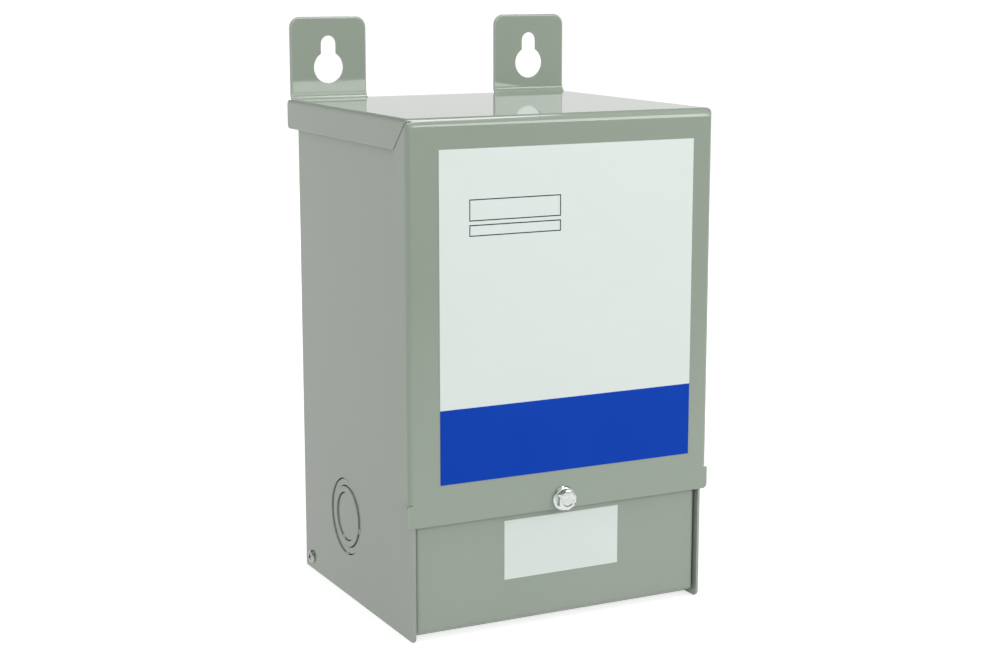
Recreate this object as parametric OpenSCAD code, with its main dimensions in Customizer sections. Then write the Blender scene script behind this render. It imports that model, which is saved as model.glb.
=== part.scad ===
// Dry-type isolation transformer in a wall-hung case of folded sheet steel.
// A potted core sits behind a folded cover that makes the top and upper front,
// with a wiring compartment below it that has a screwed-on pan of its own.
// The front faces -Y, the width runs along X, and z = 0 is where it can stand.

/* [Case] */
// Width over the two side panels
case_w = 140; // [110:1:200]
// Height from the floor to the top of the cover
case_h = 219; // [180:1:320]
// Depth of a side panel, front edge to rear edge
panel_d = 124; // [100:1:180]
// Thickness of the folded sheet steel
sheet_t = 1.2; // [1:0.1:2]
// Outside radius of the folds down the cover's sides
bend_r = 2.1; // [2:0.1:4]
// Inside radius of the fold between the cover's top and front
front_fold_inner_r = 2.4; // [0.5:0.1:4]
// Radius on the front corners of a side panel
panel_corner_r = 3; // [1:0.5:6]
// Thickness of the steel base plate
base_t = 3; // [2:0.5:4]
// Width of the folded edges of the back panel
back_flange_w = 14; // [10:1:20]

/* [Folded cover] */
// Air gap between a cover flange and the side panel inside it
lap_gap = 0.9; // [0.5:0.1:2]
// Width of the cover's side flanges, over the fold
flange_w = 13.2; // [9:0.1:18]
// Radius on a top flange's lower rear corner
flange_r = 2; // [0.5:0.5:4]
// Height of the cover's lower edge above the floor
cover_z = 50.4; // [45:0.1:70]
// Distance that the cover's top runs back past the side panels
rear_overhang = 8; // [6:0.5:15]
// Height of the flat ears at the cover's lower corners
ear_h = 9.7; // [6:0.1:14]
// Distance that an ear stands out past the flange
ear_out = 0.6; // [0.5:0.1:3]
// Corner radius of an ear
ear_r = 2; // [0.5:0.5:4]
// Height of the relief notch between an ear and the flange above it
relief_h = 0.4; // [0.3:0.1:2]
// Distance that a relief notch reaches in from the cover's side
relief_w = 1.4; // [1:0.1:4]
// Width of the mitred seam between the top and front flanges
mitre_gap = 0.5; // [0.2:0.1:1]

/* [Mounting tabs] */
// Width of a tab
tab_w = 37.4; // [30:0.1:45]
// Height of a tab above the cover's top
tab_h = 37; // [34:0.5:60]
// Radius on a tab's upper corners
tab_r = 5; // [2:0.5:8]
// Distance from a tab's outer edge in to the cover's side
tab_inset = 1.6; // [0.5:0.1:6]
// Diameter of a keyhole's round part, which a screw head passes
keyhole_d = 14.4; // [12:0.1:18]
// Width of a keyhole's slot, which a screw shank slides into
keyslot_w = 7.4; // [6:0.1:9]
// Height of the keyhole's round part above the cover's top, at its centre
keyhole_rise = 14; // [12:0.5:16]
// Distance from the round part's centre up to the slot end's centre
keyslot_run = 10.7; // [9:0.1:14]
// Outside radius of the fold at a tab's foot
tab_fold_r = 3.5; // [3:0.1:4]
// Clearance beside a tab where it leaves the cover's top
tab_relief = 0.3; // [0.2:0.1:0.5]

/* [Wiring compartment cover] */
// Distance from the upper cover's face back to the pan's face
pan_recess = 3; // [2.6:0.1:6]
// Gap between the pan's edge and the side panel, each side
pan_gap = 0.6; // [0.5:0.1:2]
// Depth of the pan's folded edges
pan_flange_d = 12; // [8:0.5:18]
// Inside radius of a fold in the pan
pan_fold_inner_r = 0.8; // [0.2:0.1:2.5]
// Height of the pan's lip behind the upper cover
pan_lip_h = 13; // [10:0.5:20]
// Distance that the base plate reaches under the pan's folded edge
base_lap = 4; // [2:0.5:5]

/* [Knockouts] */
// Diameter of the outer knockout ring
knockout_outer_d = 34.9; // [32:0.1:38]
// Diameter of the middle knockout ring
knockout_middle_d = 28.2; // [26:0.1:30]
// Diameter of the knockout slug
knockout_slug_d = 22.2; // [20:0.1:24]
// Height of a knockout's centre above the floor
knockout_z = 36.5; // [30:0.5:45]
// Distance from a side panel's rear edge to a knockout's centre
knockout_from_rear = 50.5; // [40:0.5:60]
// Width of the sheared gap round each ring
knockout_gap = 0.4; // [0.2:0.05:0.5]
// Distance that the outer ring and the slug are pushed in
knockout_step = 0.7; // [0.2:0.1:0.8]
// Width of the ties that hold the rings
knockout_tie_w = 2.4; // [1.5:0.1:4]

/* [Fasteners] */
// Diameter of the cover screw's washer face
washer_d = 10.6; // [9:0.1:12]
// Thickness of the washer face
washer_t = 1; // [0.6:0.1:1.6]
// Width across the flats of the cover screw's hexagon
hex_af = 8; // [7:0.1:9]
// Height of the hexagon above its washer face
hex_h = 3.2; // [2:0.1:4]
// Diameter of the cover screw's shank
screw_d = 4.8; // [4:0.1:5.5]
// Length of the cover screw under its head
screw_len = 12; // [8:0.5:16]
// Height of the cover screw above the cover's lower edge
screw_rise = 4.6; // [4:0.1:6]
// Width of the driver slot
slot_w = 1.2; // [0.8:0.1:1.6]
// Depth of the driver slot
slot_depth = 1.2; // [0.6:0.1:1.8]
// Angle at which the hexagon stopped
hex_angle = 30; // [0:5:60]
// Angle at which the driver slot stopped
slot_angle = -30; // [-90:5:90]
// Clearance round a screw's shank
screw_clearance = 0.3; // [0.2:0.05:0.5]
// Diameter of a panel screw's pan head
panel_screw_head_d = 6.2; // [5.5:0.1:8]
// Height of a panel screw's pan head
panel_screw_head_h = 1.6; // [1.2:0.1:2.4]
// Width of the cross recess in a pan head
cross_w = 0.9; // [0.6:0.1:1.2]
// Angle at which the cross recess stopped
cross_angle = 25; // [0:5:90]
// Diameter of a panel screw's shank
panel_screw_d = 3.5; // [3:0.1:4]
// Length of a panel screw under its head
panel_screw_len = 6; // [5:0.5:9]
// Distance from a side panel's rear edge to the panel screw
panel_screw_from_rear = 8; // [6:0.5:10]
// Height of the panel screw above the base plate
panel_screw_rise = 3; // [2.5:0.5:8]

/* [Labels] */
// Distance from the cover's left side to the rating label
label_left_gap = 14.1; // [8:0.1:20]
// Distance from the cover's right side to the rating label
label_right_gap = 9.8; // [8:0.1:20]
// Distance from the cover's top down to the rating label
label_top_gap = 12.7; // [8:0.1:30]
// Height of the rating label's lower edge above the cover's lower edge
label_rise = 17.1; // [14:0.1:24]
// Height of the rating label's coloured band
label_band_h = 31.6; // [20:0.1:36]
// Width of the lower label
low_label_w = 55.4; // [40:0.1:70]
// Height of the lower label
low_label_h = 26; // [15:0.5:30]
// Distance from the cover's lower edge down to the lower label
low_label_gap = 2.9; // [1:0.1:8]
// Sideways offset of the lower label from the centre line
low_label_offset = 0.8; // [-3:0.1:3]
// Thickness of a label
label_t = 0.2; // [0.1:0.05:0.3]

/* [Potted core] */
// Height of the potted core's underside above the pan's lip
core_rise = 8.6; // [4:0.1:30]
// Clearance over and in front of the potted core
core_gap = 3; // [1:0.5:6]

/* [Hidden] */
$fn = 96;

// Sides that the mirrored pieces take
LEFT = -1;
RIGHT = 1;
// Where each sheared ring's ties stand, as angles from the top towards the rear
OUTER_TIES = [0, 180];
MIDDLE_TIES = [76, 256];
SLUG_TIES = [161, 341];
// Overlap that carries a cut clean through a face
cut = 1;

enamel = [0.62, 0.66, 0.60];
zinc = [0.75, 0.76, 0.76];
label_white = [0.88, 0.91, 0.90];
label_blue = [0.08, 0.24, 0.72];
resin = [0.15, 0.14, 0.13];

cover_w = case_w + 2 * (lap_gap + sheet_t);
cover_d = sheet_t + panel_d + rear_overhang;
head_out = washer_t + hex_h;
// The origin lies under the middle of the whole depth, screw head included
front_y = (head_out - cover_d) / 2;
back_y = front_y + cover_d;
panel_front_y = front_y + sheet_t;
panel_rear_y = panel_front_y + panel_d;
panel_h = case_h - sheet_t;
inner_w = case_w - 2 * sheet_t;
// The inside of each fold stays clear of the side panels' edges and corners
side_fold_r = [bend_r, min(bend_r - sheet_t, lap_gap)];
front_fold_in = min(front_fold_inner_r, panel_corner_r);
front_fold_r = [front_fold_in + sheet_t, front_fold_in];
back_fold_r = [2 * sheet_t, sheet_t];
pan_fold_r = [pan_fold_inner_r + sheet_t, pan_fold_inner_r];
ear_top_z = cover_z + ear_h;
tab_x = cover_w / 2 - tab_inset - tab_w / 2;
tab_inner_r = tab_fold_r - sheet_t;
tab_fold_y = back_y - tab_fold_r;
pan_y = front_y + pan_recess;
pan_w = inner_w - 2 * pan_gap;
pan_top_z = cover_z + pan_lip_h;
base_y = pan_y + pan_flange_d - base_lap;
knockout_y = panel_rear_y - knockout_from_rear;
screw_z = cover_z + screw_rise;
panel_screw_y = panel_rear_y - panel_screw_from_rear;
panel_screw_z = base_t + panel_screw_rise;
label_w = cover_w - label_left_gap - label_right_gap;
label_x = (label_left_gap - label_right_gap) / 2;
label_z = cover_z + label_rise;
label_field_z = label_z + label_band_h;
label_field_h = case_h - label_top_gap - label_field_z;

// Keeps a piece made for the right, or mirrors it to the left
module on_side(side) {
    mirror([side == LEFT ? 1 : 0, 0, 0]) children();
}

// Rectangle whose corner at the origin is rounded
module one_round_corner(size, r) {
    translate([r, 0]) square([size.x - r, size.y]);
    translate([0, r]) square([size.x, size.y - r]);
    translate([r, r]) circle(r);
}

// Rectangle standing on the X axis, centred, its two lower corners rounded
module two_round_corners(size, r) {
    translate([-size.x / 2, r]) square([size.x, size.y - r]);
    translate([r - size.x / 2, 0]) square([size.x - 2 * r, size.y]);
    for (side = [LEFT, RIGHT])
        translate([side * (size.x / 2 - r), r]) circle(r);
}

// Block with its front at y = 0 and its foot at z = 0, its edges rounded by
// side_r up and along the two sides and by foot_r along the front of the foot
module folded_block(size, side_r, foot_r) {
    intersection() {
        linear_extrude(size.z)
            two_round_corners([size.x, size.y], side_r);
        translate([0, size.y, 0]) rotate([90, 0, 0])
            linear_extrude(size.y) two_round_corners([size.x, size.z], side_r);
        translate([-size.x / 2, 0, 0]) rotate([90, 0, 90])
            linear_extrude(size.x) one_round_corner([size.y, size.z], foot_r);
    }
}

// Folded sheet: a face at y = 0 with its foot and sides folded back, each
// fold given as [outside radius, inside radius]
module folded_pan(size, side_r, foot_r) {
    difference() {
        folded_block(size, side_r[0], foot_r[0]);
        translate([0, sheet_t, sheet_t])
            folded_block([size.x - 2 * sheet_t, size.y, size.z], side_r[1], foot_r[1]);
    }
}

// Clearance hole for a screw, through the sheet behind the origin along +Z
module screw_hole(d) {
    translate([0, 0, -cut]) cylinder(d = d + 2 * screw_clearance, h = sheet_t + 2 * cut);
}

// Side view of what is cut away behind and below the cover's flanges
module flange_cutaway() {
    flange_z = case_h - flange_w;
    translate([front_y + flange_w, ear_top_z - cut])
        square([cover_d, flange_z - ear_top_z + cut]);
    translate([back_y - flange_r, flange_z - cut]) difference() {
        square([flange_r + cut, flange_r + cut]);
        translate([0, flange_r + cut]) circle(flange_r);
    }
}

// Slit down each corner that parts the top flange from the front flange
module mitre_seam() {
    seam_len = (flange_w + cut) * sqrt(2);
    for (side = [LEFT, RIGHT])
        translate([side * cover_w / 2, front_y, case_h]) rotate([-45, 0, 0])
            translate([-bend_r, 0, -mitre_gap / 2])
                cube([2 * bend_r, seam_len, mitre_gap]);
}

// Top and front in one folded sheet, with flanges lapped over the side panels
module cover() {
    color(enamel) {
        difference() {
            translate([0, front_y, case_h]) mirror([0, 0, 1])
                folded_pan([cover_w, cover_d, case_h - ear_top_z], side_fold_r, front_fold_r);
            translate([-cover_w / 2 - cut, 0, 0]) rotate([90, 0, 90])
                linear_extrude(cover_w + 2 * cut) flange_cutaway();
            mitre_seam();
            for (side = [LEFT, RIGHT]) {
                // Notch in the top's rear edge, where a tab is folded up
                translate([side * tab_x - tab_w / 2 - tab_relief, tab_fold_y, case_h - bend_r])
                    cube([tab_w + 2 * tab_relief, tab_fold_r + cut, bend_r + cut]);
                // Relief that lets the flange fold above the ear
                translate([side * cover_w / 2 - relief_w, front_y - cut, ear_top_z - cut])
                    cube([2 * relief_w, flange_w + 2 * cut, relief_h + cut]);
            }
        }
        difference() {
            translate([0, panel_front_y, cover_z]) rotate([90, 0, 0])
                linear_extrude(sheet_t)
                    two_round_corners([cover_w + 2 * ear_out, ear_h], ear_r);
            translate([0, front_y, screw_z]) rotate([-90, 0, 0]) screw_hole(screw_d);
        }
    }
}

// Upright part of a tab with its keyhole, standing on the X axis
module tab_outline() {
    upright_h = tab_h - tab_inner_r;
    keyhole_y = keyhole_rise - tab_inner_r;
    difference() {
        translate([0, upright_h]) mirror([0, 1])
            two_round_corners([tab_w, upright_h], tab_r);
        translate([0, keyhole_y]) circle(d = keyhole_d);
        translate([-keyslot_w / 2, keyhole_y]) square([keyslot_w, keyslot_run]);
        translate([0, keyhole_y + keyslot_run]) circle(d = keyslot_w);
    }
}

// Tab folded up from the rear edge of the cover's top
module mounting_tab(side) {
    color(enamel) on_side(side) translate([tab_x, 0, case_h + tab_inner_r]) {
        translate([0, back_y, 0]) rotate([90, 0, 0])
            linear_extrude(sheet_t) tab_outline();
        translate([-tab_w / 2, tab_fold_y, 0]) rotate([90, 0, 90])
            linear_extrude(tab_w) intersection() {
                difference() {
                    circle(tab_fold_r);
                    circle(tab_inner_r);
                }
                translate([0, -tab_fold_r]) square(tab_fold_r);
            }
    }
}

// Side panel from the floor to the underside of the cover's top
module side_panel(side) {
    color(enamel) on_side(side) translate([inner_w / 2, 0, 0]) difference() {
        translate([0, panel_front_y, panel_h / 2]) rotate([90, 0, 90])
            linear_extrude(sheet_t) rotate(-90)
                two_round_corners([panel_h, panel_d], panel_corner_r);
        translate([-cut, knockout_y, knockout_z]) rotate([0, 90, 0])
            cylinder(d = knockout_outer_d, h = sheet_t + 2 * cut);
        translate([0, panel_screw_y, panel_screw_z]) rotate([0, 90, 0])
            screw_hole(panel_screw_d);
    }
}

// Sheared ring or disc, pushed in by step, with ties to what is round it
module knockout(side, outer_d, inner_d, step, tie_angles) {
    body_r = outer_d / 2 - knockout_gap;
    color(enamel) on_side(side)
        translate([case_w / 2 - step, knockout_y, knockout_z]) rotate([0, -90, 0]) {
            difference() {
                cylinder(r = body_r, h = sheet_t);
                if (inner_d > 0)
                    translate([0, 0, -cut]) cylinder(d = inner_d, h = sheet_t + 2 * cut);
            }
            for (angle = tie_angles)
                rotate([0, 0, angle]) intersection() {
                    translate([body_r - knockout_gap, -knockout_tie_w / 2, 0])
                        cube([3 * knockout_gap, knockout_tie_w, sheet_t - step]);
                    cylinder(d = outer_d, h = sheet_t);
                }
        }
}

// Back panel between the side panels, its sides and top folded forward
module back_panel() {
    color(enamel) difference() {
        translate([0, panel_rear_y, panel_h]) rotate([180, 0, 0])
            folded_pan([inner_w, back_flange_w, panel_h - base_t], back_fold_r, back_fold_r);
        for (side = [LEFT, RIGHT])
            on_side(side) translate([inner_w / 2 - sheet_t, panel_screw_y, panel_screw_z])
                rotate([0, 90, 0]) screw_hole(panel_screw_d);
    }
}

// Flat plate that closes the foot of the case
module base_plate() {
    color(enamel) translate([-inner_w / 2, base_y, 0])
        cube([inner_w, panel_rear_y - base_y, base_t]);
}

// Pan that closes the wiring compartment, its lip tucked behind the cover
module wiring_compartment_cover() {
    color(enamel) difference() {
        translate([0, pan_y, base_t])
            folded_pan([pan_w, pan_flange_d, pan_top_z - base_t], pan_fold_r, pan_fold_r);
        translate([0, pan_y, screw_z]) rotate([-90, 0, 0]) screw_hole(screw_d);
    }
}

// Slotted hex washer-head screw through the cover into the pan's lip
module cover_screw() {
    color(zinc) translate([0, front_y, screw_z]) rotate([90, 0, 0]) {
        difference() {
            union() {
                cylinder(d = washer_d, h = washer_t);
                rotate([0, 0, hex_angle])
                    cylinder(d = hex_af / cos(30), h = head_out, $fn = 6);
            }
            rotate([0, 0, slot_angle])
                translate([-washer_d / 2, -slot_w / 2, head_out - slot_depth])
                    cube([washer_d, slot_w, slot_depth + cut]);
        }
        translate([0, 0, -screw_len]) cylinder(d = screw_d, h = screw_len);
    }
}

// Pan-head screw through a side panel into the back panel's folded side
module panel_screw(side) {
    color(zinc) on_side(side)
        translate([case_w / 2, panel_screw_y, panel_screw_z]) rotate([0, 90, 0]) {
            difference() {
                cylinder(d = panel_screw_head_d, h = panel_screw_head_h);
                for (angle = [cross_angle, cross_angle + 90])
                    rotate([0, 0, angle])
                        translate([-panel_screw_d / 2, -cross_w / 2, panel_screw_head_h - cross_w])
                            cube([panel_screw_d, cross_w, cross_w + cut]);
            }
            translate([0, 0, -panel_screw_len]) cylinder(d = panel_screw_d, h = panel_screw_len);
        }
}

// Thin label on a face at y, centred at x, its lower edge at z
module label(x, y, z, size) {
    translate([x - size.x / 2, y - label_t, z]) cube([size.x, label_t, size.y]);
}

module rating_label_field() {
    color(label_white) label(label_x, front_y, label_field_z, [label_w, label_field_h]);
}

module rating_label_band() {
    color(label_blue) label(label_x, front_y, label_z, [label_w, label_band_h]);
}

module lower_label() {
    low_label_z = cover_z - low_label_gap - low_label_h;
    color(label_white) label(low_label_offset, pan_y, low_label_z, [low_label_w, low_label_h]);
}

// Core and coil cast in resin, which fills the case above the compartment
module potted_core() {
    core_w = inner_w - 4 * sheet_t;
    core_y = panel_front_y + core_gap;
    core_d = panel_rear_y - sheet_t - core_y;
    core_z = pan_top_z + core_rise;
    core_h = panel_h - sheet_t - core_gap - core_z;
    color(resin) translate([-core_w / 2, core_y, core_z]) cube([core_w, core_d, core_h]);
}

cover();
mounting_tab(LEFT);  // left_mounting_tab
mounting_tab(RIGHT);  // right_mounting_tab
side_panel(LEFT);  // left_side_panel
side_panel(RIGHT);  // right_side_panel
back_panel();
base_plate();
wiring_compartment_cover();
cover_screw();
panel_screw(LEFT);  // left_panel_screw
panel_screw(RIGHT);  // right_panel_screw
knockout(LEFT, knockout_outer_d, knockout_middle_d, knockout_step, OUTER_TIES);  // left_knockout_outer_ring
knockout(LEFT, knockout_middle_d, knockout_slug_d, 0, MIDDLE_TIES);  // left_knockout_middle_ring
knockout(LEFT, knockout_slug_d, 0, knockout_step, SLUG_TIES);  // left_knockout_slug
knockout(RIGHT, knockout_outer_d, knockout_middle_d, knockout_step, OUTER_TIES);  // right_knockout_outer_ring
knockout(RIGHT, knockout_middle_d, knockout_slug_d, 0, MIDDLE_TIES);  // right_knockout_middle_ring
knockout(RIGHT, knockout_slug_d, 0, knockout_step, SLUG_TIES);  // right_knockout_slug
rating_label_field();
rating_label_band();
lower_label();
potted_core();
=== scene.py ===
import math

import bmesh
import bpy
from mathutils import Matrix, Vector


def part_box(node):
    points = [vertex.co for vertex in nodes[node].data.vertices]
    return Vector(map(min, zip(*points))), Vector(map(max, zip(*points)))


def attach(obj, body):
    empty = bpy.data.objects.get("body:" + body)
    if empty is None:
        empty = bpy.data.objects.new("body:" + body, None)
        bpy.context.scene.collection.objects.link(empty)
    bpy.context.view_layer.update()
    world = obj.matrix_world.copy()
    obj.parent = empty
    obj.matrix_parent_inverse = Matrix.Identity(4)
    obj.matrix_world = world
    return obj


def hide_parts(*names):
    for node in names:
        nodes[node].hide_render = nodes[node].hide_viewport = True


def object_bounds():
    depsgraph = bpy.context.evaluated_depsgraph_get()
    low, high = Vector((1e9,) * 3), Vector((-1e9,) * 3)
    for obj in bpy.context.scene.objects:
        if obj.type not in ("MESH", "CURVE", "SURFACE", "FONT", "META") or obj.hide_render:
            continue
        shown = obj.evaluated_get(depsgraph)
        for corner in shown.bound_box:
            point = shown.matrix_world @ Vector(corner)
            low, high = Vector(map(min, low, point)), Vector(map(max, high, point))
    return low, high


mm = 0.001  # sizes are in mm and turns in degrees, unless a note says otherwise
joined = 0.001 * mm  # corners nearer than this are one

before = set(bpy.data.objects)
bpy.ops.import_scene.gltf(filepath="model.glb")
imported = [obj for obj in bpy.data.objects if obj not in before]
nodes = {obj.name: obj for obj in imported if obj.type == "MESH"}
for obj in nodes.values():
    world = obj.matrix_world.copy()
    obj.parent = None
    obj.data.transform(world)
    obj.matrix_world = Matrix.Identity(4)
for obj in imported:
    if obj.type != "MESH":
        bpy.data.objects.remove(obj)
cadLow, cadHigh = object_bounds()
print("frame loaded,", len(nodes), "nodes")


def linear(hexColour):  # an sRGB hex value as the linear colour that a socket takes
    channels = [int(hexColour[i:i + 2], 16) / 255 for i in (1, 3, 5)]
    return [c / 12.92 if c <= 0.04045 else ((c + 0.055) / 1.055) ** 2.4 for c in channels] + [1.0]


def patternScale(size):  # a noise pattern's scale, from its real size in mm
    return 1 / (size * mm)


def addNode(tree, kind, settings=None, links=None):
    node = tree.nodes.new("ShaderNode" + kind)
    for name, value in (settings or {}).items():
        if isinstance(name, int) or name in node.inputs:
            node.inputs[name].default_value = value
        else:
            setattr(node, name, value)
    for name, source in (links or {}).items():
        tree.links.new(source, node.inputs[name])
    return node


def newMaterial(name):
    material = bpy.data.materials.new(name)
    material.use_nodes = True
    material.node_tree.nodes.clear()
    return material, material.node_tree


def closeMaterial(tree, shader):
    addNode(tree, "OutputMaterial", links={"Surface": shader.outputs[0]})


# Baked enamel over cold-rolled steel: one even grey-green coat with a hard gloss that
# turns mirror-like at a low angle, and a fine orange peel left by the spray gun. The paler
# edge colours paint a highlight on the eased edges and the tie ramps.
enamel = {
    "flat": ("#9AA698", "#9FAA9D"),
    # painted highlight: paler colours for eased edges and tie ramps
    "edge": ("#A8B2A7", "#B1BAB0"),
    "ior": 1.5,
    "cloud": 70,  # slow drift of the coat's tone
    "smear": 18,  # drift of its gloss
    "smearRange": (0.3, 0.7),  # the part of that noise that the gloss follows
    "roughness": (0.035, 0.055),
    "wave": 55,  # the sheet's own slow waviness
    "waveHeight": 0.0012,
    "peel": 2.2,  # between swells, drawn about twice as coarse as the real peel
    "peelHeight": 0.0002,
}


def makeEnamel(name, colours):
    material, tree = newMaterial(name)
    place = addNode(tree, "TexCoord").outputs["Object"]
    cloud = addNode(tree, "TexNoise", {"Scale": patternScale(enamel["cloud"]), "Detail": 3.0},
                    {"Vector": place})
    low, high = map(linear, colours)
    tone = addNode(tree, "Mix", {"data_type": "RGBA", 6: low, 7: high}, {0: cloud.outputs[0]})
    smear = addNode(tree, "TexNoise", {"Scale": patternScale(enamel["smear"]), "Detail": 4.0},
                    {"Vector": place})
    (start, end), (smooth, rough) = enamel["smearRange"], enamel["roughness"]
    gloss = addNode(tree, "MapRange",
                    {"From Min": start, "From Max": end, "To Min": smooth, "To Max": rough},
                    {"Value": smear.outputs[0]})
    wave = addNode(tree, "TexNoise", {"Scale": patternScale(enamel["wave"]), "Detail": 0.0},
                   {"Vector": place})
    peel = addNode(tree, "TexNoise", {"Scale": patternScale(enamel["peel"]), "Detail": 1.0},
                   {"Vector": place})
    sheet = addNode(tree, "Bump", {"Strength": 1.0, "Distance": enamel["waveHeight"] * mm},
                    {"Height": wave.outputs[0]})
    skin = addNode(tree, "Bump", {"Strength": 1.0, "Distance": enamel["peelHeight"] * mm},
                   {"Height": peel.outputs[0], "Normal": sheet.outputs[0]})
    closeMaterial(tree, addNode(tree, "BsdfPrincipled", {"IOR": enamel["ior"]},
                                {"Base Color": tone.outputs[2], "Roughness": gloss.outputs[0],
                                 "Normal": skin.outputs[0]}))
    return material


# Zinc plate on carbon steel: a cool mirror broken by the plating's fine grain. The small
# panel screws have dulled.
zinc = {
    "bright": ("#E8ECE9", "#C9CFCC"),
    "dull": ("#BABDB4", "#90938B"),
    "grain": 0.9,  # drawn coarser than the real grain, so that it shows
    "grainHeight": 0.004,
    "roughness": (0.14, 0.30),
}


def makeZinc(name, colours):
    material, tree = newMaterial(name)
    place = addNode(tree, "TexCoord").outputs["Object"]
    grain = addNode(tree, "TexNoise", {"Scale": patternScale(zinc["grain"]), "Detail": 5.0},
                    {"Vector": place})
    low, high = map(linear, colours)
    tone = addNode(tree, "Mix", {"data_type": "RGBA", 6: low, 7: high}, {0: grain.outputs[0]})
    smooth, rough = zinc["roughness"]
    gloss = addNode(tree, "MapRange", {"To Min": smooth, "To Max": rough},
                    {"Value": grain.outputs[0]})
    bump = addNode(tree, "Bump", {"Strength": 1.0, "Distance": zinc["grainHeight"] * mm},
                   {"Height": grain.outputs[0]})
    closeMaterial(tree, addNode(tree, "BsdfPrincipled", {"Metallic": 1.0},
                                {"Base Color": tone.outputs[2], "Roughness": gloss.outputs[0],
                                 "Normal": bump.outputs[0]}))
    return material


# Printed polyester film: a smooth sheet with a dull topcoat and a faint milky drift.
film = {
    "white": ("#E8F0EC", "#E5EDE9"),
    "blue": ("#023FB2", "#0744B8"),
    "ink": ("#0D1213", "#161B1C"),
    "ior": 1.49,
    "shine": 0.12,
    "drift": 25,
    "roughness": (0.46, 0.54),
}


def makeFilm(name, colours):
    material, tree = newMaterial(name)
    place = addNode(tree, "TexCoord").outputs["Object"]
    drift = addNode(tree, "TexNoise", {"Scale": patternScale(film["drift"]), "Detail": 6.0},
                    {"Vector": place})
    low, high = map(linear, colours)
    tone = addNode(tree, "Mix", {"data_type": "RGBA", 6: low, 7: high}, {0: drift.outputs[0]})
    smooth, rough = film["roughness"]
    gloss = addNode(tree, "MapRange", {"To Min": smooth, "To Max": rough},
                    {"Value": drift.outputs[0]})
    closeMaterial(tree, addNode(tree, "BsdfPrincipled",
                                {"IOR": film["ior"], "Specular IOR Level": film["shine"]},
                                {"Base Color": tone.outputs[2], "Roughness": gloss.outputs[0]}))
    return material


# Sand-filled potting resin, cast: matte and nearly black, with grit in it.
potting = {
    "colours": ("#1E1C1A", "#35312D"),
    "roughness": 0.85,
    "grit": 1.5,
    "gritHeight": 0.1,
}


def makeResin():
    material, tree = newMaterial("cast potting resin with sand")
    place = addNode(tree, "TexCoord").outputs["Object"]
    grit = addNode(tree, "TexNoise", {"Scale": patternScale(potting["grit"]), "Detail": 4.0},
                   {"Vector": place})
    low, high = map(linear, potting["colours"])
    tone = addNode(tree, "Mix", {"data_type": "RGBA", 6: low, 7: high}, {0: grit.outputs[0]})
    bump = addNode(tree, "Bump", {"Strength": 1.0, "Distance": potting["gritHeight"] * mm},
                   {"Height": grit.outputs[0]})
    closeMaterial(tree, addNode(tree, "BsdfPrincipled", {"Roughness": potting["roughness"]},
                                {"Base Color": tone.outputs[2], "Normal": bump.outputs[0]}))
    return material


enamelCoat = makeEnamel("baked enamel, sprayed on steel", enamel["flat"])
# a paler copy of the enamel, a painted highlight for eased edges and tie ramps
enamelEdgeHighlight = makeEnamel("baked enamel, paler as a painted edge highlight", enamel["edge"])
brightZinc = makeZinc("bright zinc plate on steel", zinc["bright"])
dullZinc = makeZinc("dulled zinc plate on steel", zinc["dull"])
whiteFilm = makeFilm("white polyester label film", film["white"])
blueFilm = makeFilm("blue screen-printed polyester film", film["blue"])
blackInk = makeFilm("black screen-printed ink", film["ink"])
resin = makeResin()
print("materials made")


def looseObject(bm, name):
    mesh = bpy.data.meshes.new(name)
    bm.to_mesh(mesh)
    bm.free()
    made = bpy.data.objects.new(name, mesh)
    bpy.context.scene.collection.objects.link(made)
    return made


def finishMesh(bm, name, materials, stands=(), smoothBelow=38):
    piece = looseObject(bm, name)
    for material in materials:
        piece.data.materials.append(material)
    piece.data.shade_smooth()
    piece.data.set_sharp_from_angle(angle=math.radians(smoothBelow))
    even = piece.modifiers.new("even normals", "WEIGHTED_NORMAL")  # flats stay flat by a bevel
    even.keep_sharp = True
    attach(piece, "root")
    if stands:
        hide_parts(*stands)


# Sheet pieces: the paint rounds every sheared edge, so each is eased and catches a thin light,
# heightened by a painted highlight.
# The guard is how far in from its box a folded piece is scored, so that the shading of a
# fold stays in the fold.
sheets = {
    "cover": {"easing": 0.3, "guard": 4.2},
    "left_mounting_tab": {"easing": 0.2, "guard": 4.2},
    "right_mounting_tab": {"easing": 0.2, "guard": 4.2},
    "left_side_panel": {"easing": 0.3},
    "right_side_panel": {"easing": 0.3},
    "back_panel": {"easing": 0.3, "guard": 3.0},
    "base_plate": {"easing": 0.3},
    "wiring_compartment_cover": {"easing": 0.3, "guard": 3.0},
    "left_knockout_outer_ring": {"easing": 0.12},
    "left_knockout_middle_ring": {"easing": 0.12},
    "left_knockout_slug": {"easing": 0.12},
    "right_knockout_outer_ring": {"easing": 0.12},
    "right_knockout_middle_ring": {"easing": 0.12},
    "right_knockout_slug": {"easing": 0.12},
}
easing = {
    "sharp": 40,  # an edge that turns more than this is eased
    "flat": 0.2,  # faces that turn less than this are one face
    "steps": 2,
}
relief = {  # the notches over the cover's ears, left sharp
    "low": 59.9,  # up from the foot
    "high": 60.7,
    "margin": 1,  # scored this far below and above
}
tabRim = {  # the press rolls a tab's front rim over, but not its keyhole
    "easing": 0.85,
    "steps": 5,
    "sheet": 1.2,  # the tab's thickness
    "clear": 8,  # from the tab's middle, past the keyhole
    "top": 1,  # an edge this close to the top is rim wherever it lies
    "near": 0.01,  # an edge this close to the front lies on it
}


def score(bm, axis, place):  # cuts every face along one plane
    normal = Vector((0, 0, 0))
    normal[axis] = 1
    bmesh.ops.bisect_plane(bm, geom=bm.verts[:] + bm.edges[:] + bm.faces[:], dist=joined,
                           plane_co=normal * place, plane_no=normal)


def faceReach(face, edge):  # how far a face runs back from one of its edges
    across = face.normal.cross(edge.verts[1].co - edge.verts[0].co).normalized()
    return max(abs((v.co - edge.verts[0].co).dot(across)) for v in face.verts)


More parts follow.
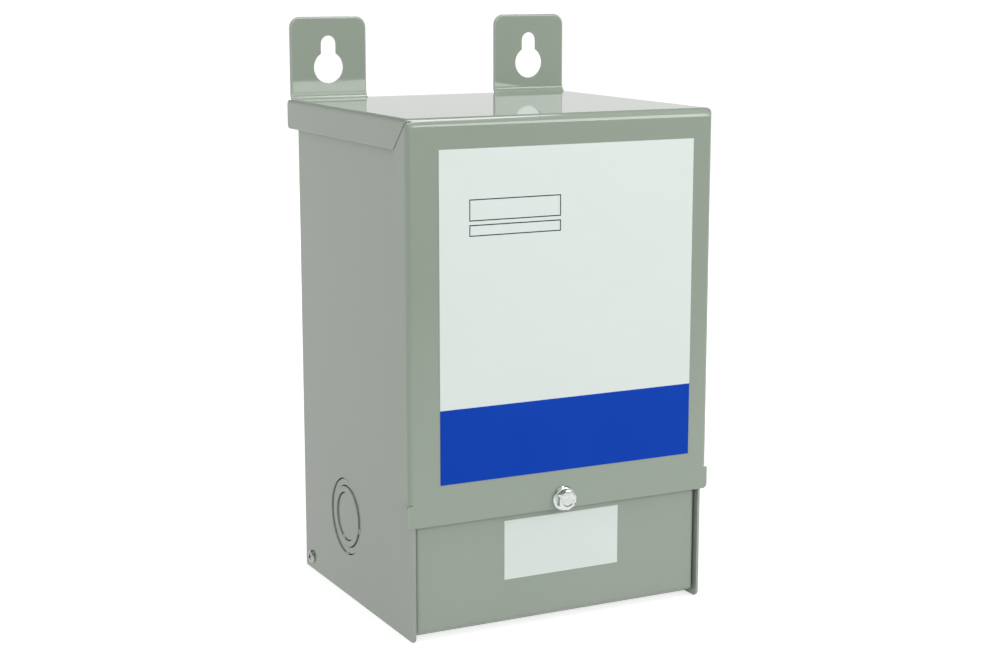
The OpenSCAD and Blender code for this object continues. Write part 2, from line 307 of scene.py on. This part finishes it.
def easeEdges(bm, edges, size, steps):
    sharp = [e for e in edges
             if e.is_manifold and e.is_convex
             and e.calc_face_angle(0) > math.radians(easing["sharp"])
             and min(faceReach(f, e) for f in e.link_faces) > size * mm]
    eased = bmesh.ops.bevel(bm, geom=sharp, offset=size * mm, offset_type="OFFSET",
                            affect="EDGES", segments=steps, profile=0.5, material=-1,
                            clamp_overlap=False)
    # the eased faces take the paler enamel, a painted highlight
    for face in eased["faces"]:
        face.material_index = 1


def rollTabRim(bm, low, high):
    middle, front = (low.x + high.x) / 2, high.y - tabRim["sheet"] * mm
    onFront = [e for e in bm.edges
               if all(abs(v.co.y - front) < tabRim["near"] * mm for v in e.verts)]
    rim = [e for e in onFront
           if all(abs(v.co.x - middle) > tabRim["clear"] * mm
                  or v.co.z > high.z - tabRim["top"] * mm for v in e.verts)]
    easeEdges(bm, rim, tabRim["easing"], tabRim["steps"])


def easeSheet(name, size, guard):
    bm = bmesh.new()
    bm.from_mesh(nodes[name].data)
    bmesh.ops.remove_doubles(bm, verts=bm.verts, dist=joined)
    bmesh.ops.dissolve_limit(bm, angle_limit=math.radians(easing["flat"]), verts=bm.verts,
                             edges=bm.edges)
    low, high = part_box(name)
    for axis in range(3):  # scored only where the box has room for it
        if guard and high[axis] - low[axis] > 3 * guard * mm:
            score(bm, axis, low[axis] + guard * mm)
            score(bm, axis, high[axis] - guard * mm)
    edges = bm.edges[:]
    if name == "cover":
        notchLow, notchHigh = relief["low"] * mm, relief["high"] * mm
        score(bm, 2, notchLow - relief["margin"] * mm)
        score(bm, 2, notchHigh + relief["margin"] * mm)
        edges = [e for e in bm.edges
                 if not all(notchLow < v.co.z < notchHigh for v in e.verts)]
    if "mounting_tab" in name:
        rollTabRim(bm, low, high)
        edges = [e for e in bm.edges if not any(f.material_index for f in e.link_faces)]
    easeEdges(bm, edges, size, easing["steps"])
    bmesh.ops.dissolve_degenerate(bm, dist=joined, edges=bm.edges)
    finishMesh(bm, "painted_" + name, [enamelCoat, enamelEdgeHighlight], [name])


for name, sheet in sheets.items():
    easeSheet(name, sheet["easing"], sheet.get("guard", 0))
print("sheet pieces eased,", len(sheets))


# Knockout ties: where the shears left a ring joined, the steel is drawn into a short ramp.
ties = {
    "width": 2.4,
    "run": 1.2,
    "step": 0.7,  # down to a ring that is pushed in
    "sunk": 0.1,  # the underside lies this far below that ring's face
    "foot": -0.9,  # of the ramp's height, where its far end comes down to
    "rings": {  # the proud side's radius, the way the ramp falls, and where round the ring
        "outer": (17.45, -1, (0, 180)),
        "middle": (13.7, 1, (76, 256)),
        "slug": (11.1, -1, (161, 341)),
    },
}


def makeTies(side, outward):
    low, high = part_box(side + "_knockout_outer_ring")
    panelLow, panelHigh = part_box(side + "_side_panel")
    face = (panelLow if outward < 0 else panelHigh).x
    middle = Vector((face, (low.y + high.y) / 2, (low.z + high.z) / 2))
    out = Vector((outward, 0, 0))
    bm = bmesh.new()
    for radius, falls, angles in ties["rings"].values():
        for angle in angles:
            made = bmesh.ops.create_cube(bm, size=1.0)["verts"]
            bmesh.ops.translate(bm, vec=(0.5, 0, -0.5), verts=made)
            for v in made:  # the far top edge comes down to the pushed-in ring
                if v.co.x > 0.5 and v.co.z > -0.5:
                    v.co.z = ties["foot"]
            size = Vector((falls * ties["run"], ties["width"], ties["step"] + ties["sunk"]))
            bmesh.ops.scale(bm, vec=size * mm, verts=made)
            bmesh.ops.translate(bm, vec=(radius * mm, 0, 0), verts=made)
            turn = math.radians(angle)
            radial = Vector((0, math.sin(turn), math.cos(turn)))
            basis = Matrix((radial, out.cross(radial), out)).transposed().to_4x4()
            bmesh.ops.transform(bm, matrix=Matrix.Translation(middle) @ basis, verts=made)
    bmesh.ops.recalc_face_normals(bm, faces=bm.faces)
    # the ramps take the paler edge enamel: a painted highlight where the ties catch light
    finishMesh(bm, side + "_knockout_tie_ramps", [enamelEdgeHighlight])


makeTies("left", -1)
makeTies("right", 1)
print("knockout ties made")


def turned(bm, outline, sides):  # spins an outline of (radius, height) points round the Z axis
    points = [bm.verts.new((radius * mm, 0, height * mm)) for radius, height in outline]
    edges = [bm.edges.new(pair) for pair in zip(points, points[1:])]
    bmesh.ops.spin(bm, geom=points + edges, cent=(0, 0, 0), axis=(0, 0, 1), dvec=(0, 0, 0),
                   angle=math.radians(360), steps=sides, use_merge=True)
    bmesh.ops.remove_doubles(bm, verts=bm.verts, dist=joined)
    bmesh.ops.recalc_face_normals(bm, faces=bm.faces)


def slotCutter(length, width, depth, top, turn):  # its upper half stands clear of the top
    bm = bmesh.new()
    bmesh.ops.create_cube(bm, size=1.0)
    bmesh.ops.scale(bm, vec=Vector((length, width, 2 * depth)) * mm, verts=bm.verts)
    bmesh.ops.translate(bm, vec=Vector((0, 0, top)) * mm, verts=bm.verts)
    bmesh.ops.rotate(bm, cent=(0, 0, 0), matrix=Matrix.Rotation(math.radians(turn), 3, "Z"),
                     verts=bm.verts)
    return looseObject(bm, "cutter")


def cutWith(piece, cutters):
    for cutter in cutters:
        modifier = piece.modifiers.new("cut", "BOOLEAN")
        modifier.object = cutter
        modifier.operation = "DIFFERENCE"
        modifier.solver = "EXACT"
    bpy.context.view_layer.update()
    finished = piece.evaluated_get(bpy.context.evaluated_depsgraph_get())
    solid = bpy.data.meshes.new_from_object(finished)
    for used in [piece, *cutters]:
        bpy.data.objects.remove(used)
    bm = bmesh.new()
    bm.from_mesh(solid)
    bpy.data.meshes.remove(solid)
    return bm


def seatScrew(bm, turn, axis, place):  # turns a screw's head to face out and sets it in place
    bmesh.ops.rotate(bm, cent=(0, 0, 0), matrix=Matrix.Rotation(math.radians(turn), 3, axis),
                     verts=bm.verts)
    bmesh.ops.translate(bm, vec=place, verts=bm.verts)


screwSmoothBelow = 24

# Cover screw: slotted hexagon washer head, driven through the middle of the cover's foot.
coverScrew = {
    "washer": 10.6,  # across
    "rim": 1.0,  # the washer's thickness
    "underEdge": 0.15,
    "rimEdge": (0.25, 0.3),  # in, and down
    "flats": 8.0,  # across
    "hexTurn": 30,
    "hexRoot": ((0.3, 0.12), (0, 0.3)),  # out from the corner, and up from the washer
    "crown": ((0, 0.55), (0.35, 0.2), (0.95, 0)),  # in from the corner, and down from the top
    "dish": ((2.9, 0), (2.5, 0.35), (0, 0.35)),  # radius, and down from the top
    "pressed": (3.0, 0.2),  # the wall, past this radius and this far above the washer
    "shank": 2.4,  # radius
    "slot": 1.1,  # wide
    "slotLength": 11.2,
    "slotDepth": 1.6,
    "slotTurn": -30,
    "sides": 72,
}


def makeCoverScrew():
    low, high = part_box("cover_screw")
    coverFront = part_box("cover")[0].y
    top, reach = (coverFront - low.y) / mm, (high.y - coverFront) / mm
    rim, shank, under = coverScrew["rim"], coverScrew["shank"], coverScrew["underEdge"]
    washer, flat = coverScrew["washer"] / 2, coverScrew["flats"] / 2
    corner = flat / math.cos(math.radians(30))
    inwards, down = coverScrew["rimEdge"]
    bm = bmesh.new()
    turned(bm, [(0, -reach), (shank / 2, -reach), (shank, shank / 2 - reach), (shank, 0.0),
                (washer - under, 0.0), (washer, under), (washer, rim - down),
                (washer - inwards, rim)]
           + [(corner + out, rim + up) for out, up in coverScrew["hexRoot"]]
           + [(corner - step, top - drop) for step, drop in coverScrew["crown"]]
           + [(radius, top - drop) for radius, drop in coverScrew["dish"]], coverScrew["sides"])
    wallRadius, wallFoot = coverScrew["pressed"]
    for v in bm.verts:  # the collar's wall is pressed flat on six sides
        radius = math.hypot(v.co.x, v.co.y)
        if v.co.z > (rim + wallFoot) * mm and radius > wallRadius * mm:
            angle = (math.degrees(math.atan2(v.co.y, v.co.x)) - coverScrew["hexTurn"]) % 60 - 30
            pressed = flat * mm / math.cos(math.radians(angle))
            if radius > pressed:
                v.co.x *= pressed / radius
                v.co.y *= pressed / radius
    slot = slotCutter(coverScrew["slotLength"], coverScrew["slot"], coverScrew["slotDepth"], top,
                      coverScrew["slotTurn"])
    bm = cutWith(looseObject(bm, "head"), [slot])
    seatScrew(bm, 90, "X", ((low.x + high.x) / 2, coverFront, (low.z + high.z) / 2))
    finishMesh(bm, "slotted_hex_cover_screw", [brightZinc], ["cover_screw"],
               screwSmoothBelow)


# Panel screws: small pan heads with a cross recess, one low on each side panel.
panelScrew = {
    "head": 6.2,  # across
    "height": 1.6,
    "shoulder": 0.25,  # of the height, where the crown starts
    "crownStep": 10,
    "underEdge": 0.1,
    "shank": 1.7,  # radius
    "point": (0.7, 1.0),  # radius, and length of the taper
    "cross": 0.9,  # wide
    "crossLength": 3.6,
    "crossDepth": 0.8,
    "turn": 25,
    "sides": 32,
}


def makePanelScrew(node, outward):
    low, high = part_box(node)
    radius, height, shank = panelScrew["head"] / 2, panelScrew["height"], panelScrew["shank"]
    reach = (high.x - low.x) / mm - height
    point, taper = panelScrew["point"]
    foot, rise = height * panelScrew["shoulder"], height * (1 - panelScrew["shoulder"])
    slopes = [math.radians(a) for a in range(90, 0, -panelScrew["crownStep"])]
    bm = bmesh.new()
    turned(bm, [(0, -reach), (point, -reach), (shank, taper - reach), (shank, 0),
                (radius - panelScrew["underEdge"], 0)]
           + [(radius * math.sin(a), foot + rise * math.cos(a)) for a in slopes]
           + [(0, height)], panelScrew["sides"])
    arms = [slotCutter(panelScrew["crossLength"], panelScrew["cross"], panelScrew["crossDepth"],
                       height, panelScrew["turn"] + quarter) for quarter in (0, 90)]
    bm = cutWith(looseObject(bm, "head"), arms)
    face = high.x - height * mm if outward > 0 else low.x + height * mm
    seatScrew(bm, 90 * outward, "Y", (face, (low.y + high.y) / 2, (low.z + high.z) / 2))
    finishMesh(bm, "cross_recess_" + node, [dullZinc], [node], screwSmoothBelow)


makeCoverScrew()
makePanelScrew("left_panel_screw", -1)
makePanelScrew("right_panel_screw", 1)
print("screws made")


# Two empty ruled boxes printed in black on the rating label.
ruledBoxes = {
    "line": 0.62,
    "left": 13.5,  # from the label's left edge
    "width": 42.3,
    "boxes": ((20.6, 9.0), (31.1, 4.75)),  # from the label's top edge, and height
    "ink": 0.02,
}


def makeRuledBoxes():
    low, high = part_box("rating_label_field")
    bm = bmesh.new()
    for drop, tall in ruledBoxes["boxes"]:
        corner = Vector((low.x + ruledBoxes["left"] * mm, low.y - ruledBoxes["ink"] * mm,
                         high.z - drop * mm))
        verts = bmesh.ops.create_grid(bm, x_segments=1, y_segments=1, size=0.5)["verts"]
        bmesh.ops.scale(bm, vec=(ruledBoxes["width"] * mm, tall * mm, 1), verts=verts)
        bmesh.ops.rotate(bm, cent=(0, 0, 0), matrix=Matrix.Rotation(math.radians(90), 3, "X"),
                         verts=verts)
        bmesh.ops.translate(bm, vec=corner + Vector((ruledBoxes["width"] / 2, 0, -tall / 2)) * mm,
                            verts=verts)
        panel = [f for f in bm.faces if all(v in verts for v in f.verts)]
        bmesh.ops.inset_region(bm, faces=panel, thickness=ruledBoxes["line"] * mm,
                               use_boundary=True)
        bmesh.ops.delete(bm, geom=panel, context="FACES")
    bmesh.ops.solidify(bm, geom=bm.faces[:], thickness=ruledBoxes["ink"] * mm)
    bmesh.ops.recalc_face_normals(bm, faces=bm.faces)
    finishMesh(bm, "rating_label_ruled_boxes", [blackInk])


makeRuledBoxes()
plainNodes = {  # these keep their own shape and only take their finish here
    "rating_label_field": whiteFilm,
    "rating_label_band": blueFilm,
    "lower_label": whiteFilm,
    "potted_core": resin,
}
for name, material in plainNodes.items():
    nodes[name].material_slots[0].material = material
print("labels made")


# Studio: a plain pale floor, soft lamps all round and a pale surround. Each lamp has a direction
# from the object, its distance, width and height in metres, and its brightness in times white
# paper.
studio = {
    "middle": (0, 0, 0.13),  # metres, what the lamps face
    "floorRadius": 12,  # metres
    "floorDrop": 0.05,  # so that the base and the floor aren't in one plane
    "floorColour": "#C6C6C6",
    "floorGlow": (0.72, 0.97),  # near the object, and far off
    "glowReach": (0.25, 1.2),  # metres
    "floorMirrored": (1.12, 0.08),  # what gloss shows of the floor, and of its unlit front
    "frontShade": (-0.15, -0.95),  # metres, where the floor in front falls dark
    "surround": 0.15,
    "mirrored": (0.86, 0.18),  # what gloss shows of it low down, and overhead
    "sweep": (0.22, 0.36),  # how high a direction points where one turns into the other
    "lamps": {
        "top_softbox": ((-0.25, -0.10, 0.96), 1.0, 0.8, 0.8, 0.9),
        "front_softbox": ((0.46, -0.84, 0.295), 1.3, 0.52, 0.48, 5.8),
        "overhead_strip": ((0.35, -0.07, 0.93), 1.3, 0.8, 0.19, 7.5),
    },
    "fills": {  # gloss doesn't show these
        "right_fill": ((0.85, -0.30, 0.43), 1.3, 1.15, 1.15, 1.2),
        "left_fill": ((-0.95, 0.05, 0.36), 1.3, 1.15, 1.15, 1.0),
        "front_fill": ((-0.35, -0.90, 0.33), 1.5, 1.8, 1.2, 1.2),
        "back_fill": ((0.10, 0.93, 0.30), 1.5, 1.6, 0.8, 1.3),
    },
}
white = linear("#FFFFFF")


def makeFloor():
    bm = bmesh.new()
    bmesh.ops.create_circle(bm, cap_ends=True, segments=64, radius=studio["floorRadius"])
    bmesh.ops.translate(bm, vec=(0, 0, -studio["floorDrop"] * mm), verts=bm.verts)
    floor = looseObject(bm, "floor")
    material, tree = newMaterial("matte white sweep")
    rays = addNode(tree, "LightPath")
    place = addNode(tree, "TexCoord").outputs["Object"]
    away = addNode(tree, "VectorMath", {"operation": "LENGTH"}, {0: place})
    (near, far), (start, end) = studio["floorGlow"], studio["glowReach"]
    rise = addNode(tree, "MapRange",
                   {"From Min": start, "From Max": end, "To Min": near, "To Max": far},
                   {"Value": away.outputs["Value"]})
    glow = addNode(tree, "Math", {"operation": "MULTIPLY"},
                   {0: rays.outputs["Is Camera Ray"], 1: rise.outputs[0]})
    matte = addNode(tree, "BsdfDiffuse", {"Color": linear(studio["floorColour"])})
    lift = addNode(tree, "Emission", {"Color": white}, {"Strength": glow.outputs[0]})
    lit = addNode(tree, "AddShader", links={0: matte.outputs[0], 1: lift.outputs[0]})
    front = addNode(tree, "SeparateXYZ", links={0: place}).outputs["Y"]
    (bright, dark), (shadeStart, shadeEnd) = studio["floorMirrored"], studio["frontShade"]
    shade = addNode(tree, "MapRange",
                    {"interpolation_type": "SMOOTHSTEP", "From Min": shadeStart,
                     "From Max": shadeEnd, "To Min": bright, "To Max": dark}, {"Value": front})
    mirrored = addNode(tree, "Emission", {"Color": white}, {"Strength": shade.outputs[0]})
    closeMaterial(tree, addNode(tree, "MixShader", links={0: rays.outputs["Is Glossy Ray"],
                                                          1: lit.outputs[0],
                                                          2: mirrored.outputs[0]}))
    floor.data.materials.append(material)


def makeSurround():
    world = bpy.data.worlds.new("surround")
    bpy.context.scene.world = world
    world.use_nodes = True
    tree = world.node_tree
    tree.nodes.clear()
    rays = addNode(tree, "LightPath")
    way = addNode(tree, "SeparateXYZ", links={0: addNode(tree, "TexCoord").outputs["Generated"]})
    (lowDown, overhead), (start, end) = studio["mirrored"], studio["sweep"]
    sweep = addNode(tree, "MapRange",
                    {"From Min": start, "From Max": end, "To Min": lowDown, "To Max": overhead},
                    {"Value": way.outputs["Z"]})
    soft = addNode(tree, "Background", {"Color": white, "Strength": studio["surround"]})
    glossy = addNode(tree, "Background", {"Color": white}, {"Strength": sweep.outputs[0]})
    plain = addNode(tree, "Background", {"Color": white, "Strength": 1.0})
    mirrored = addNode(tree, "MixShader", links={0: rays.outputs["Is Glossy Ray"],
                                                 1: soft.outputs[0], 2: glossy.outputs[0]})
    seen = addNode(tree, "Math", {"operation": "MAXIMUM"},
                   {0: rays.outputs["Is Camera Ray"], 1: rays.outputs["Is Transmission Ray"]})
    both = addNode(tree, "MixShader",
                   links={0: seen.outputs[0], 1: mirrored.outputs[0], 2: plain.outputs[0]})
    addNode(tree, "OutputWorld", links={"Surface": both.outputs[0]})


def makeLamp(name, towards, distance, width, height, brightness):
    lamp = bpy.data.lights.new(name, "AREA")
    lamp.shape = "RECTANGLE"
    lamp.size, lamp.size_y = width, height
    lamp.energy = brightness * math.pi * width * height
    holder = bpy.data.objects.new(name, lamp)
    way = Vector(towards).normalized()
    holder.location = Vector(studio["middle"]) + way * distance
    holder.rotation_mode = "QUATERNION"
    holder.rotation_quaternion = (-way).to_track_quat("-Z", "Y")
    holder.visible_camera = False
    holder.visible_glossy = name in studio["lamps"]
    bpy.context.scene.collection.objects.link(holder)


camera = {
    "aim": (0.7, -2.8, -11.5),  # from the object's middle
    "turn": -26.8,
    "rise": 10.8,
    "distance": 861,
    "lens": 68.8,
    "sensor": 36,  # wide
    "clip": (0.01, 50),  # metres
}


def makeCamera():
    turn, rise = math.radians(camera["turn"]), math.radians(camera["rise"])
    back = Vector((math.sin(turn) * math.cos(rise), -math.cos(turn) * math.cos(rise),
                   math.sin(rise)))
    data = bpy.data.cameras.new("camera")
    data.lens, data.sensor_width = camera["lens"], camera["sensor"]
    data.clip_start, data.clip_end = camera["clip"]
    holder = bpy.data.objects.new("camera", data)
    aim = (cadLow + cadHigh) / 2 + Vector(camera["aim"]) * mm
    holder.location = aim + back * camera["distance"] * mm
    holder.rotation_mode = "QUATERNION"
    holder.rotation_quaternion = (-back).to_track_quat("-Z", "Y")
    bpy.context.scene.collection.objects.link(holder)
    bpy.context.scene.camera = holder


makeFloor()
makeSurround()
for name, settings in (studio["lamps"] | studio["fills"]).items():
    makeLamp(name, *settings)
makeCamera()
bpy.context.scene.view_settings.view_transform = "Standard"
print("studio made")
